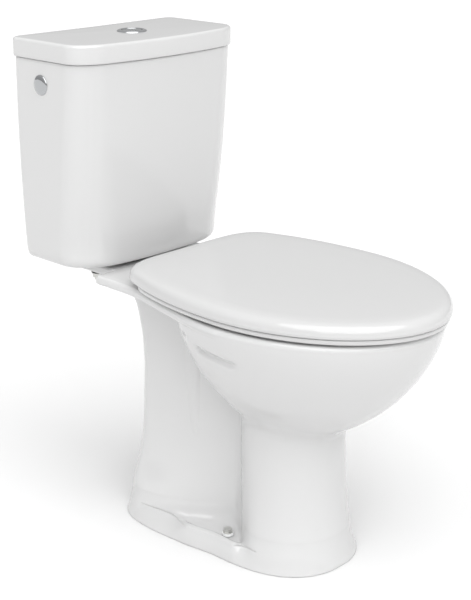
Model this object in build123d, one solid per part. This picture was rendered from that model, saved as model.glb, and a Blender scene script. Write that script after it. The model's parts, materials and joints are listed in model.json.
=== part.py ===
"""Close coupled toilet: pan, cistern, seat, flush and fill valves and all their fixings.

Millimetres. X is left to right, -Y is the front of the bowl, Z is up and the floor is z = 0.
The origin is the middle of the bounding box at floor level. Threads are plain cylinders.
"""
import math
import os

from build123d import *

# ---- driving dimensions ---------------------------------------------------------------------
BACK = 326.0            # wall side of the cistern lid
RIM_Z = 400.0           # top of the china rim and deck
BOWL_Y = -104.0         # widest point of the bowl
BOWL_A = 178.0          # half-width of the rim
BOWL_F = 230.0          # rim length ahead of the widest point
BOWL_DEPTH = 210.0      # depth of the outer bowl curve below the rim
BOWL_N = 1.65           # exponent of the outer bowl curve
DECK_HW, DECK_BACK, DECK_T = 134.0, 187.0, 12.0
TONGUE_HW, TONGUE_BACK, TONGUE_T = 98.0, 280.0, 15.0
COLUMN_Y = -99.0        # axis of the round front column
WEB_HW = 50.0           # half-width of the waist that holds the trap
TRAP_R = 34.0           # bore of the trap
OUTLET_Z, OUTLET_R, OUTLET_BORE, OUTLET_END = 185.0, 51.0, 42.0, 170.0
OUTLET_START = 126.0                    # where the round spigot leaves the trap
FLUSH_Y = 238.0         # axis of the flush valve and of the button
BODY_TOP, BODY_BOTTOM = 716.4, 401.0
LID_BOTTOM, LID_TOP, LID_HW, LID_FRONT = 717.0, 745.0, 163.0, 151.0
SIDE_Y, SIDE_Z = 258.0, 681.0          # side holes of the cistern
INLET_R = 10.48                        # half-inch pipe thread on the fill valve tail
TAIL_R = 10.15                         # the same tail inside the wall and the nut
INLET_END = 178.0
BOLT_X, BOLT_R = 80.0, 4.0             # cistern to pan bolts
MIDDLE_Y = 9.2           # moves everything back, so that the middle of the whole depth is at y = 0
HINGE_X, HINGE_Y, HINGE_Z = 77.5, 118.0, 415.0
PIN_R, PIN_BORE, BARREL_R = 2.5, 2.56, 5.2
RING_BOTTOM, RING_EDGE, RING_TOP = 404.0, 411.0, 416.0
COVER_BOTTOM, COVER_CEILING, COVER_TOP = 412.0, 421.0, 434.0
SEAT_F, SEAT_BACK = 240.0, 129.0         # cover ahead of its widest point, and its back edge
SCREW_X, SCREW_Y = 79.0, -39.0         # floor screws
BUTTON_R = 15.8
FILL_X, FILL_HINGE_Y, FILL_HINGE_Z = 104.0, 238.0, 684.0


# ---- small helpers --------------------------------------------------------------------------
def rod(r, z0, z1, x=0.0, y=0.0):
    """Upright cylinder from z0 to z1."""
    return Pos(x, y, (z0 + z1) / 2) * Cylinder(r, z1 - z0)


def tube(r_in, r_out, z0, z1, x=0.0, y=0.0):
    """Upright tube from z0 to z1."""
    return rod(r_out, z0, z1, x, y) - rod(r_in, z0 - 1, z1 + 1, x, y)


def rod_x(r, x0, x1, y, z):
    """Cylinder along X from x0 to x1."""
    return Pos((x0 + x1) / 2, y, z) * Rot(0, 90, 0) * Cylinder(r, abs(x1 - x0))


def tube_x(r_in, r_out, x0, x1, y, z):
    """Tube along X from x0 to x1."""
    lo, hi = min(x0, x1), max(x0, x1)
    return rod_x(r_out, lo, hi, y, z) - rod_x(r_in, lo - 1, hi + 1, y, z)


def block(x0, x1, y0, y1, z0, z1):
    """Box between two corners."""
    return Pos((x0 + x1) / 2, (y0 + y1) / 2, (z0 + z1) / 2) * Box(x1 - x0, y1 - y0, z1 - z0)


def both(maker):
    """The same piece on the left (-1) and on the right (+1), kept as two solids."""
    return Compound(children=[maker(-1), maker(1)])


def hexagon(r, z0, z1, x=0.0, y=0.0):
    """Upright hexagonal prism with corner radius r."""
    return Pos(x, y, z0) * extrude(RegularPolygon(r, 6), z1 - z0)


def wing_nut(bore, r, z0, z1, x, y):
    """Round nut with two wings along Y, bored for the bolt."""
    body = rod(r, z0, z1, x, y) + block(x - 1.5, x + 1.5, y - 1.9 * r, y + 1.9 * r, z0, z1 - 2)
    return body - rod(bore, z0 - 1, z1 + 1, x, y)


def outline(points, z):
    """Face at height z inside a smooth closed curve; points are the right half, front to back."""
    left = [(-x, y) for x, y in reversed(points) if x > 1e-6]
    return Pos(0, 0, z) * make_face(Spline(*(points + left), periodic=True))


def egg_points(a, front, back, y0=BOWL_Y, n=9):
    """Right half of an egg: half-width a, semi-axes front and back of the widest point."""
    pts = []
    for i in range(2 * n - 1):
        t = math.pi * i / (2 * n - 2)
        b = front if t < math.pi / 2 else back
        pts.append((a * math.sin(t), y0 - b * math.cos(t)))
    pts[0], pts[-1] = (0.0, pts[0][1]), (0.0, pts[-1][1])
    return pts


def egg(a, front, back, z, y0=BOWL_Y):
    """Egg-shaped face at height z."""
    return outline(egg_points(a, front, back, y0), z)


def rounded(hw, y_front, y_back, r_front, r_back, z, bow=0.0):
    """Rounded rectangle at height z with its front edge bowed out by bow."""
    kf, kb = r_front * (1 - math.sqrt(0.5)), r_back * (1 - math.sqrt(0.5))
    yf = y_front + bow
    p = [(-hw, y_back - r_back), (-hw, yf + r_front), (-hw + r_front, yf), (hw - r_front, yf),
         (hw, yf + r_front), (hw, y_back - r_back), (hw - r_back, y_back), (-hw + r_back, y_back)]
    front = ThreePointArc(p[2], (0, y_front), p[3]) if bow else Line(p[2], p[3])
    edges = [Line(p[0], p[1]), ThreePointArc(p[1], (-hw + kf, yf + kf), p[2]), front,
             ThreePointArc(p[3], (hw - kf, yf + kf), p[4]), Line(p[4], p[5]),
             ThreePointArc(p[5], (hw - kb, y_back - kb), p[6]), Line(p[6], p[7]),
             ThreePointArc(p[7], (-hw + kb, y_back - kb), p[0])]
    return Pos(0, 0, z) * make_face(edges)


def side_profile(points, hw):
    """Prism across X, half-width hw, from a closed outline of (y, z) points."""
    face = make_face(Polyline(*[(0, y, z) for y, z in points], close=True))
    return extrude(face, hw, dir=(1, 0, 0), both=True)


def chain(points, r):
    """Round passage through (y, z) points on the centre plane."""
    shape = None
    for (y0, z0), (y1, z1) in zip(points, points[1:]):
        length = math.hypot(y1 - y0, z1 - z0)
        tilt = math.degrees(math.atan2(z1 - z0, y1 - y0))
        leg = Pos(0, (y0 + y1) / 2, (z0 + z1) / 2) * Rot(tilt - 90, 0, 0) * Cylinder(r, length)
        leg = leg + Pos(0, y1, z1) * Sphere(r)
        shape = leg if shape is None else shape + leg
    return shape


# ---- pan ------------------------------------------------------------------------------------
def bowl_scale(z):
    """Width of the outer bowl at height z as a share of the rim."""
    d = max(RIM_Z - z, 0.0) / BOWL_DEPTH
    return max(1 - d ** BOWL_N, 0.0) ** (1 / BOWL_N)


def bowl_outer():
    """Outer bowl, rounded over at the rim."""
    faces = []
    for z in (198, 212, 235, 262, 290, 320, 350, 376, 390):
        s = bowl_scale(z)
        faces.append(egg(BOWL_A * s, BOWL_F * s, BOWL_A * s, z))
    faces.append(egg(BOWL_A - 1.5, BOWL_F - 1.5, BOWL_A - 1.5, 396))
    faces.append(egg(BOWL_A - 6, BOWL_F - 6, BOWL_A - 6, RIM_Z))
    return loft(faces)


def foot_points(k):
    """Right half of the footprint, scaled by k about the middle of the foot."""
    pts = [(0, -196), (22, -195), (58, -180), (78, -161), (98, -121), (105, -85), (108, -30),
           (114, 10), (118, 60), (118, 110), (111, 148), (95, 173), (70, 189), (36, 194), (0, 194)]
    return [(x * k, (y - 10) * k + 10) for x, y in pts]


def foot():
    """Flange on the floor with a shallow tray along each side."""
    shape = loft([outline(foot_points(k), z) for z, k in ((0, 1.0), (18, 0.992), (26, 0.975), (32, 0.94))])
    tray = [(103, 96), (92, 78), (75, 42), (60, 14), (54, -8), (54, -30), (58, -48), (70, -66),
            (88, -70), (97, -60), (101, -30), (104, 10), (108, 55), (109, 92)]
    for s in (-1, 1):
        face = make_face(Polyline(*[(s * x, y) for x, y in tray], close=True))
        shape -= Pos(0, 0, 26) * extrude(face, 10)
    return shape


def columns():
    """Round front column, waist and rear column that flares into the deck."""
    front = loft([Pos(0, COLUMN_Y, z) * Circle(r) for z, r in
                  ((4, 92), (20, 89), (40, 84), (65, 79.5), (100, 77), (150, 76), (205, 76), (245, 80))])
    waist = block(-WEB_HW, WEB_HW, -90, 90, 4, 262)
    levels = ((4, 110, 2, 190, 62), (32, 103, 10, 186, 56), (62, 86, 18, 181, 44),
              (100, 76, 22, 176, 36), (200, 73, 24, 168, 33), (260, 73, 24, 166, 32),
              (320, 76, 14, 176, 32), (350, 88, 4, 181, 34), (374, 110, -8, 183, 34),
              (392, 128, -20, DECK_BACK, 24))
    rear = loft([rounded(hw, yf, yb, r, r, z) for z, hw, yf, yb, r in levels])
    return front + waist + rear


def deck():
    """Flat deck behind the bowl, with a tongue and a water horn under the cistern."""
    pts = [(176, -104), (170, -44), (157, 16), (143, 64), (DECK_HW, 112), (DECK_HW, 177),
           (DECK_HW - 9, DECK_BACK)]
    pts = pts + [(-x, y) for x, y in reversed(pts)]
    plate = Pos(0, 0, RIM_Z - DECK_T) * extrude(make_face(Polyline(*pts, close=True)), DECK_T)
    tongue = block(-TONGUE_HW, TONGUE_HW, 160, TONGUE_BACK - 12, RIM_Z - TONGUE_T, RIM_Z)
    horn = side_profile([(150, 330), (186, 338), (TONGUE_BACK, 378), (TONGUE_BACK, RIM_Z),
                         (150, RIM_Z)], 42)
    return plate + tongue + horn


def pan_hollows():
    """Bowl interior, rim channel, water way, trap bore and the hollow underneath."""
    levels = ((165, 36, 36, 36, -78), (185, 44, 46, 44, -82), (220, 62, 74, 60, -92),
              (260, 101, 122, 96, -100), (300, 131, 160, 124, BOWL_Y), (340, 150, 184, 142, BOWL_Y),
              (372, 158, 195, 148, BOWL_Y))
    well = loft([egg(a, f, b, z, y0) for z, a, f, b, y0 in levels])
    mouth = Pos(0, 0, 360) * extrude(egg(132, 170, 118, 0), 50)
    way = side_profile([(30, 352), (180, 352), (FLUSH_Y + 28, 388), (FLUSH_Y + 28, 402),
                        (FLUSH_Y - 28, 402), (FLUSH_Y - 28, 386), (30, 386)], 26)
    bends = [(-78, 200), (-44, 128), (2, 128), (66, 248), (102, 187), (150, OUTLET_Z)]
    trap = chain(bends, TRAP_R)
    under = loft([Pos(0, COLUMN_Y, z) * Circle(r) for z, r in ((-1, 82), (40, 70), (82, 62))])
    under += block(-38, 38, COLUMN_Y, 114, -1, 82)
    rear = loft([rounded(hw, yf, 230, 18, 12, z) for z, hw, yf in
                 ((-1, 92, 40), (40, 84, 40), (100, 61, 40), (322, 61, 36))], ruled=True)
    rear -= chain(bends, TRAP_R + 10)
    return well, mouth, way, trap, under, rear


def pan():
    """Vitreous china pan with a horizontal outlet."""
    shape = bowl_outer() + columns() + foot() + deck()
    well, mouth, way, trap, under, rear = pan_hollows()
    for cut in (under, rear, well, mouth, way):
        shape -= cut
    spigot = Pos(0, (OUTLET_START + OUTLET_END) / 2, OUTLET_Z) * Rot(90, 0, 0) * Cylinder(OUTLET_R, OUTLET_END - OUTLET_START)
    bore = Pos(0, 156, OUTLET_Z) * Rot(90, 0, 0) * Cylinder(OUTLET_BORE, 48)
    shape = shape + spigot - bore - trap
    for s in (-1, 1):
        shape -= rod(5.0, 2, 60, s * SCREW_X, SCREW_Y) + rod(5.0, -1, 3, s * SCREW_X, SCREW_Y)
        shape -= rod(6.0, 380, 402, s * BOLT_X, FLUSH_Y)
        shape -= rod(14.0, 358, 388, s * HINGE_X, HINGE_Y)
        x0, x1 = sorted((s * 66, s * 90))
        shape -= block(x0, x1, HINGE_Y, 200, 358, 385)
        shape -= rod(6.0, 380, 402, s * HINGE_X, HINGE_Y)
    return shape


# ---- cistern --------------------------------------------------------------------------------
def cistern():
    """China cistern, open at the top, drawn in towards the bottom."""
    outer = ((401, 147, 182, 64), (404, 152, 177, 67), (410, 155.5, 174, 69), (425, 157.5, 172, 70),
             (440, 158, 171, 69), (500, 159.5, 166, 64), (560, 161, 162, 57), (640, 161, 158, 50),
             (BODY_TOP, 159, 154, 45))
    inner = ((416, 132, 192, 56), (440, 143, 183, 58), (500, 148, 177, 54), (560, 150, 173, 47),
             (640, 150, 169, 40), (BODY_TOP + 2, 148, 165, 36))
    shell = loft([rounded(hw, yf, 324, r, 12, z, 8) for z, hw, yf, r in outer], ruled=True)
    cavity = loft([rounded(hw, yf, 313, r, 8, z, 8) for z, hw, yf, r in inner], ruled=True)
    shell -= cavity - rod(62, 410, 440, 0, FLUSH_Y)
    shell -= rod(46, 400, 426, 0, FLUSH_Y) + rod(31.0, 400, 450, 0, FLUSH_Y)
    for s in (-1, 1):
        shell -= rod(5.5, 395, 425, s * BOLT_X, FLUSH_Y)
        shell -= rod_x(11.0, s * 130, s * 170, SIDE_Y, SIDE_Z)
    return shell


def cistern_lid():
    """Flat lid with softly rounded top edges and a locating lip."""
    top = extrude(rounded(LID_HW, LID_FRONT, BACK, 45, 12, LID_BOTTOM, 9), LID_TOP - LID_BOTTOM)
    top = fillet(top.edges().group_by(Axis.Z)[-1], 4)
    top -= extrude(rounded(LID_HW - 12, LID_FRONT + 13, BACK - 12, 36, 8, LID_BOTTOM - 1, 8), 17)
    lip = extrude(rounded(143, 171, 307, 30, 8, 709, 7), 733 - 709)
    lip -= extrude(rounded(136, 178, 300, 25, 6, 708, 6), 733 - 708)
    return top + lip - rod(19.4, 700, 750, 0, FLUSH_Y)


def side_hole_cap():
    """Chrome plug in the unused side hole."""
    head = rod_x(15.0, -163.4, -160.9, SIDE_Y, SIDE_Z) + rod_x(12.5, -165.0, -163.4, SIDE_Y, SIDE_Z)
    return head + rod_x(10.0, -160.9, -136.0, SIDE_Y, SIDE_Z)


def side_cap_nut():
    """Nut that holds the plug from the inside."""
    nut = Pos(-148.3, SIDE_Y, SIDE_Z) * Rot(0, 90, 0) * extrude(RegularPolygon(16, 6), 8)
    return nut - rod_x(10.0, -160, -130, SIDE_Y, SIDE_Z)


# ---- button ---------------------------------------------------------------------------------
def button_bezel():
    """Chrome ring on top of the lid."""
    ring = tube(16.3, 23.0, LID_TOP, LID_TOP + 3.2, 0, FLUSH_Y)
    return fillet(ring.edges().group_by(Axis.Z)[-1], 1.0)


def button_sleeve():
    """Threaded sleeve through the lid."""
    return tube(16.3, 18.8, 706, LID_TOP, 0, FLUSH_Y)


def button_nut():
    """Plastic nut under the lid."""
    return hexagon(28, 724, 733, 0, FLUSH_Y) - rod(18.8, 720, 740, 0, FLUSH_Y)


def button_half(side):
    """One half of the split button: the large part on the right (+1), the small on the left."""
    disc = rod(BUTTON_R, 738, LID_TOP + 2.2, 0, FLUSH_Y)
    x0, x1 = (-3.6, 20) if side > 0 else (-20, -4.4)
    return disc & block(x0, x1, FLUSH_Y - 20, FLUSH_Y + 20, 730, 760)


def push_rod(side):
    """Rod under one half of the button."""
    return rod(2.2, 696, 738, 6.0 if side > 0 else -10.0, FLUSH_Y)


# ---- flush valve ----------------------------------------------------------------------------
def flush_valve_base():
    """Threaded tail, flange, seat and the struts that carry the tower."""
    body = tube(25.5, 29.8, 404, 443, 0, FLUSH_Y) + tube(25.5, 44, 443, 448, 0, FLUSH_Y)
    body += tube(25.5, 29.0, 448, 452, 0, FLUSH_Y)
    for k in range(6):
        a = math.radians(60 * k)
        body += rod(3.0, 446, 480, 39 * math.cos(a), FLUSH_Y + 39 * math.sin(a))
    return body


def flush_valve_tower():
    """Housing above the seat and the slim guide up to the button."""
    shell = tube(36.5, 42.0, 480, 560, 0, FLUSH_Y) + tube(15.5, 42.0, 560, 564, 0, FLUSH_Y)
    shell += tube(15.5, 19.0, 564, 690, 0, FLUSH_Y)
    for k in range(4):
        a = math.radians(90 * k + 45)
        slot = Pos(39 * math.cos(a), FLUSH_Y + 39 * math.sin(a), 520) * Rot(0, 0, 90 * k + 45)
        shell -= slot * Box(12, 16, 50)
    return shell


def flush_seal():
    """Rubber disc that closes the seat, clamped on the overflow tube."""
    return tube(13.0, 33.0, 452.4, 456.4, 0, FLUSH_Y)


def overflow_tube():
    """Tube that lifts the seal and drains an overfull cistern."""
    tube_part = tube(10.5, 13.0, 446, 652, 0, FLUSH_Y)
    return tube_part + tube(13.0, 20.0, 456.4, 459.4, 0, FLUSH_Y)


# ---- fill valve -----------------------------------------------------------------------------
def fill_valve_body():
    """Threaded side inlet, valve chamber and the lugs of the float lever."""
    x, y = FILL_X, SIDE_Y
    body = rod_x(TAIL_R, x, 169.2, y, SIDE_Z) + rod_x(INLET_R, 169.2, INLET_END, y, SIDE_Z)
    body += tube_x(6.0, 16.0, 142.0, 145.3, y, SIDE_Z)
    body += rod(13.0, 656, 702, x, y)
    for s in (-1, 1):
        lug = block(x + s * 8 - 2, x + s * 8 + 2, FILL_HINGE_Y - 5, y - 6, FILL_HINGE_Z - 5, FILL_HINGE_Z + 5)
        body += lug
    body -= rod_x(6.0, x, INLET_END + 5, y, SIDE_Z) + rod(7.0, 650, SIDE_Z, x, y)
    return body - rod_x(1.5, x - 15, x + 15, FILL_HINGE_Y, FILL_HINGE_Z)


def float_arm():
    """Lever from the valve to the float."""
    x = FILL_X
    hub = rod_x(4.0, x - 5.5, x + 5.5, FILL_HINGE_Y, FILL_HINGE_Z)
    arm = hub + block(x - 3, x + 3, 193, FILL_HINGE_Y - 2, FILL_HINGE_Z - 3, FILL_HINGE_Z + 3)
    arm += rod(3.0, 672, FILL_HINGE_Z, x, 199)
    return arm - rod_x(1.56, x - 15, x + 15, FILL_HINGE_Y, FILL_HINGE_Z)


def float_cup():
    """Hollow float, open underneath."""
    x = FILL_X
    cup = block(x - 24, x + 22, 184, 214, 636, 672)
    cup = fillet(cup.edges().filter_by(Axis.Z), 10)
    return cup - block(x - 21, x + 19, 187, 211, 630, 669)


# ---- seat -----------------------------------------------------------------------------------
def seat_points(inset, back):
    """Right half of the seat outline, drawn in by inset, ending at y = back."""
    pts = egg_points(178 - inset, SEAT_F - inset, 1.0)[:9]
    kx, ky = (178 - inset) / 178, (back - BOWL_Y) / (SEAT_BACK - BOWL_Y)
    tail = [(175.5, -60), (168, -10), (157, 40), (146, 80), (131, 108), (104, 125), (60, SEAT_BACK), (0, SEAT_BACK)]
    return pts + [(x * kx, BOWL_Y + (y - BOWL_Y) * ky) for x, y in tail]


def hinge_side(s, x0, x1):
    """The two x limits of a hinge piece on side s, in rising order."""
    return tuple(sorted((s * x0, s * x1)))


def seat_ring():
    """Seat ring with a crowned top and two hinge knuckles."""
    low = extrude(outline(seat_points(3, 100), RING_BOTTOM), RING_EDGE - RING_BOTTOM)
    top = loft([outline(seat_points(12, 94), RING_EDGE), outline(seat_points(14, 92), 414),
                outline(seat_points(18, 88), RING_TOP)])
    ring = low + top
    hole = loft([egg(114, 152, 124, RING_BOTTOM - 1), egg(110, 148, 120, 409),
                 egg(116, 154, 126, RING_TOP + 1)])
    ring -= hole
    for s in (-1, 1):
        x0, x1 = hinge_side(s, 83.5, 94)
        ring += rod_x(BARREL_R, x0, x1, HINGE_Y, HINGE_Z)
        ring += block(x0, x1, 86, HINGE_Y, 409, 414)
    return ring - rod_x(PIN_BORE, -120, 120, HINGE_Y, HINGE_Z)


def seat_cover():
    """Domed cover, hollow underneath, with two hinge knuckles."""
    cover = extrude(outline(seat_points(0, SEAT_BACK), COVER_BOTTOM), 426 - COVER_BOTTOM)
    cover += loft([outline(seat_points(0, SEAT_BACK), 426), outline(seat_points(5, 125), 430.5),
                   outline(seat_points(26, 106), 433.2), outline(seat_points(70, 68), COVER_TOP)])
    cover -= extrude(outline(seat_points(9, 120), COVER_BOTTOM - 1), COVER_CEILING - COVER_BOTTOM + 1)
    for s in (-1, 1):
        x0, x1 = hinge_side(s, 59, 96)
        cover -= block(x0, x1, 104, 132, COVER_BOTTOM - 1, COVER_CEILING)
    for s in (-1, 1):
        x0, x1 = hinge_side(s, 61, 71.5)
        cover += rod_x(BARREL_R, x0, x1, HINGE_Y, HINGE_Z)
        cover += block(x0, x1, HINGE_Y - 4, HINGE_Y + 4, HINGE_Z, COVER_CEILING + 1)
    return cover - rod_x(PIN_BORE, -120, 120, HINGE_Y, HINGE_Z)


def hinge_post(s):
    """Post on the deck with its stud; it carries the hinge pin."""
    x = s * HINGE_X
    post = rod(10.0, RIM_Z, RIM_Z + 1.6, x, HINGE_Y) + rod(4.0, 366, RIM_Z + 1, x, HINGE_Y)
    post += rod_x(BARREL_R, x - 5, x + 5, HINGE_Y, HINGE_Z)
    post += block(x - 5, x + 5, HINGE_Y - 4, HINGE_Y + 4, RIM_Z + 1, HINGE_Z)
    return post - rod_x(PIN_R, x - 20, x + 20, HINGE_Y, HINGE_Z)


def hinge_pin(s):
    """Steel pin through post, cover knuckle and ring knuckle."""
    x0, x1 = hinge_side(s, 61, 94)
    return rod_x(PIN_R, x0, x1, HINGE_Y, HINGE_Z)


def pads(places, z0, z1, r=6.0):
    """Small round rubber pads."""
    return Compound(children=[rod(r, z0, z1, x, y) for x, y in places])


# ---- fixings --------------------------------------------------------------------------------
def floor_screw(s):
    """Hexagon-headed screw through the foot."""
    x = s * SCREW_X
    return rod(3.0, 1, 31, x, SCREW_Y) + hexagon(6.5, 31, 36, x, SCREW_Y) + rod(7.6, 29.5, 31, x, SCREW_Y)


def floor_sleeve(s):
    """Plastic sleeve around the screw."""
    x = s * SCREW_X
    return tube(3.0, 5.0, 1, 26, x, SCREW_Y) + tube(3.0, 8.5, 26, 29.5, x, SCREW_Y)


def coupling_bolt(s):
    """Bolt that clamps the cistern on the pan."""
    x = s * BOLT_X
    return rod(BOLT_R, 366, 420, x, FLUSH_Y) + rod(11.0, 420, 425, x, FLUSH_Y)


def set_back(shape):
    """Each solid of a piece, moved back by MIDDLE_Y."""
    solids = [Pos(0, MIDDLE_Y, 0) * solid for solid in shape.solids()]
    return solids[0] if len(solids) == 1 else Compound(children=solids)


PARTS = {
    "pan": pan,
    "floor_screws": lambda: both(floor_screw),
    "floor_screw_sleeves": lambda: both(floor_sleeve),
    "cistern": cistern,
    "side_hole_cap": side_hole_cap,
    "side_cap_nut": side_cap_nut,
    "doughnut_washer": lambda: tube(30.2, 42.0, RIM_Z, 412, 0, FLUSH_Y),
    "coupling_bolts": lambda: both(coupling_bolt),
    "coupling_head_washers": lambda: both(lambda s: tube(BOLT_R, 13, 416, 420, s * BOLT_X, FLUSH_Y)),
    "coupling_rubber_washers": lambda: both(lambda s: tube(BOLT_R, 13, 382, 385, s * BOLT_X, FLUSH_Y)),
    "coupling_steel_washers": lambda: both(lambda s: tube(BOLT_R, 12, 380, 382, s * BOLT_X, FLUSH_Y)),
    "coupling_wing_nuts": lambda: both(lambda s: wing_nut(BOLT_R, 8, 370, 380, s * BOLT_X, FLUSH_Y)),
    "cistern_lid": cistern_lid,
    "button_bezel": button_bezel,
    "button_sleeve": button_sleeve,
    "button_nut": button_nut,
    "full_flush_button": lambda: button_half(1),
    "half_flush_button": lambda: button_half(-1),
    "full_push_rod": lambda: push_rod(1),
    "half_push_rod": lambda: push_rod(-1),
    "flush_valve_base": flush_valve_base,
    "flush_valve_gasket": lambda: tube(30.0, 43.0, 440, 443, 0, FLUSH_Y),
    "flush_valve_nut": lambda: hexagon(42, 412, 426, 0, FLUSH_Y) - rod(29.8, 410, 430, 0, FLUSH_Y),
    "flush_valve_tower": flush_valve_tower,
    "overflow_tube": overflow_tube,
    "flush_seal": flush_seal,
    "fill_valve_body": fill_valve_body,
    "fill_valve_washer": lambda: tube_x(TAIL_R, 15.0, 145.3, 148.3, SIDE_Y, SIDE_Z),
    "fill_valve_nut": lambda: (Pos(161.0, SIDE_Y, SIDE_Z) * Rot(0, 90, 0)
                               * extrude(RegularPolygon(16, 6), 8)
                               - rod_x(TAIL_R, 150, 175, SIDE_Y, SIDE_Z)),
    "fill_downpipe": lambda: tube(5.5, 7.0, 432, 674, FILL_X, SIDE_Y),
    "float_arm": float_arm,
    "float_cup": float_cup,
    "float_pin": lambda: rod_x(1.5, FILL_X - 10, FILL_X + 10, FILL_HINGE_Y, FILL_HINGE_Z),
    "hinge_posts": lambda: both(hinge_post),
    "hinge_pins": lambda: both(hinge_pin),
    "hinge_washers": lambda: both(lambda s: tube(4.0, 12, 384, 388, s * HINGE_X, HINGE_Y)),
    "hinge_nuts": lambda: both(lambda s: hexagon(9, 375, 384, s * HINGE_X, HINGE_Y)
                               - rod(4.0, 370, 390, s * HINGE_X, HINGE_Y)),
    "seat_ring": seat_ring,
    "ring_buffers": lambda: pads([(-128, 20), (128, 20), (-118, -210), (118, -210)], 400.4, 404),
    "seat_cover": seat_cover,
    "cover_buffers": lambda: pads([(-130, -30), (130, -30), (-70, -275), (70, -275)], 416.4, 421),
}

if __name__ == "__main__":
    os.makedirs("parts", exist_ok=True)
    for name, make in PARTS.items():
        export_step(set_back(make()), f"parts/{name}.step")
        print(name)
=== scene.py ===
"""Looks of the close coupled toilet, laid out as an add-on and run as a script.

Every new piece is a numpy surface in millimetres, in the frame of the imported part, and becomes metres
in its mesh. Angles round a piece start at its front (-Y) and grow towards +X.
"""
import json
import math

import bpy
import numpy as np
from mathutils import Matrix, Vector


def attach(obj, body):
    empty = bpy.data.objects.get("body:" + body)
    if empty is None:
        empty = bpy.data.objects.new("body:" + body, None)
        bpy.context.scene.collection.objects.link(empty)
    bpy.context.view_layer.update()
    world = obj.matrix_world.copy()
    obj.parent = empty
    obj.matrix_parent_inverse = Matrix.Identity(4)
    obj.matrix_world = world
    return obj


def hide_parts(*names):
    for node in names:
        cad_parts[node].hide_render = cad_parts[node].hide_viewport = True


bl_info = {
    "name": "Close coupled toilet",
    "version": (1, 0, 0),
    "blender": (4, 5, 0),
    "location": "View3D > Sidebar > Toilet",
    "description": "Builds the china, the seat, the chrome and the studio around the packed part",
    "category": "Object",
}

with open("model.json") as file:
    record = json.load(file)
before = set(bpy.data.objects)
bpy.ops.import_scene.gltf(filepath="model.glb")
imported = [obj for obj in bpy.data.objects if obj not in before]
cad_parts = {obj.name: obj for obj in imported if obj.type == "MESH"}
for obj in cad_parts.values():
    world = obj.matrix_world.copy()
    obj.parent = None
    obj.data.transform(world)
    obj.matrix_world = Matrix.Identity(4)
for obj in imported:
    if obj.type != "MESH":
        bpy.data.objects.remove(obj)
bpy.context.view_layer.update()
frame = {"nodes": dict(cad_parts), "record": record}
MM = 0.001
MIDDLE_Y = 9.2                      # moves the pieces back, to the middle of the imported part
STAR_Y = -4.0                       # middle of the pan, from which its sections are all visible
HINGE_Y, HINGE_Z = 118.0, 415.0
BUTTON_Y, BUTTON_R = 238.0, 15.8
PLUG_Y, PLUG_Z = 258.0, 681.0
WIDEST_Y = -104.0                   # where the rim and the seat are widest
NOSE = 1.92                         # power of the front half of the rim and the seat


# ---- settings -------------------------------------------------------------------------------
class PanSettings(bpy.types.PropertyGroup):
    """Sizes of the pan."""
    rim_half_width: bpy.props.FloatProperty(
        name="Rim half-width", description="Half the width of the bowl at the rim", default=178.0, min=150.0)
    rim_front: bpy.props.FloatProperty(
        name="Rim length", description="From its widest place to the nose", default=230.0, min=180.0)
    bowl_depth: bpy.props.FloatProperty(
        name="Bowl depth", description="Depth of the outer bowl curve", default=208.0, min=150.0)
    crease: bpy.props.FloatProperty(
        name="Crease", description="Width of the blend between bowl and column", default=26.0, min=1.0)


class CisternSettings(bpy.types.PropertyGroup):
    """Sizes of the cistern."""
    lid_half_width: bpy.props.FloatProperty(
        name="Lid half-width", description="Half the width of the lid", default=163.0, min=120.0)
    bow: bpy.props.FloatProperty(
        name="Bow", description="How far the front is bowed out", default=9.0, min=0.0)


class SeatSettings(bpy.types.PropertyGroup):
    """Sizes of the seat."""
    half_width: bpy.props.FloatProperty(
        name="Half-width", description="Half the width of the cover", default=178.0, min=150.0)
    front: bpy.props.FloatProperty(
        name="Length", description="From the widest point to the nose of the cover", default=240.0, min=180.0)


class FinishSettings(bpy.types.PropertyGroup):
    """Colours of the finishes."""
    glaze: bpy.props.FloatVectorProperty(
        name="Glaze", description="Colour of the china", subtype="COLOR",
        default=(0.61, 0.61, 0.61), size=3)
    seat: bpy.props.FloatVectorProperty(
        name="Seat", description="Colour of seat and cover", subtype="COLOR",
        default=(0.57, 0.57, 0.57), size=3)
    chrome: bpy.props.FloatVectorProperty(
        name="Chrome", description="Colour of the plated pieces", subtype="COLOR",
        default=(0.46, 0.47, 0.48), size=3)


# ---- curves and fields ----------------------------------------------------------------------
def smooth_min(a, b, k):
    """The lower of two fields, blended by a parabola where they differ by less than k."""
    h = np.clip(0.5 + 0.5 * (b - a) / k, 0.0, 1.0)
    return b + (a - b) * h - k * h * (1.0 - h)


def smooth_max(a, b, k):
    """The higher of two fields, blended the same way."""
    return -smooth_min(-a, -b, k)


def step(t):
    """Smooth rise from 0 to 1: three t squared less two t cubed."""
    t = np.clip(t, 0.0, 1.0)
    return t * t * (3.0 - 2.0 * t)


def eased(x, places, values):
    """Cubic curve through the values at the places, with the mean slope of its neighbours at each."""
    p, v = np.asarray(places, float), np.asarray(values, float)
    slope = np.gradient(v, p)
    i = np.clip(np.searchsorted(p, x) - 1, 0, len(p) - 2)
    w = p[i + 1] - p[i]
    t = np.clip((x - p[i]) / w, 0.0, 1.0)
    t2, t3 = t * t, t * t * t
    return ((2 * t3 - 3 * t2 + 1) * v[i] + (t3 - 2 * t2 + t) * w * slope[i]
            + (3 * t2 - 2 * t3) * v[i + 1] + (t3 - t2) * w * slope[i + 1])


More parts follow.
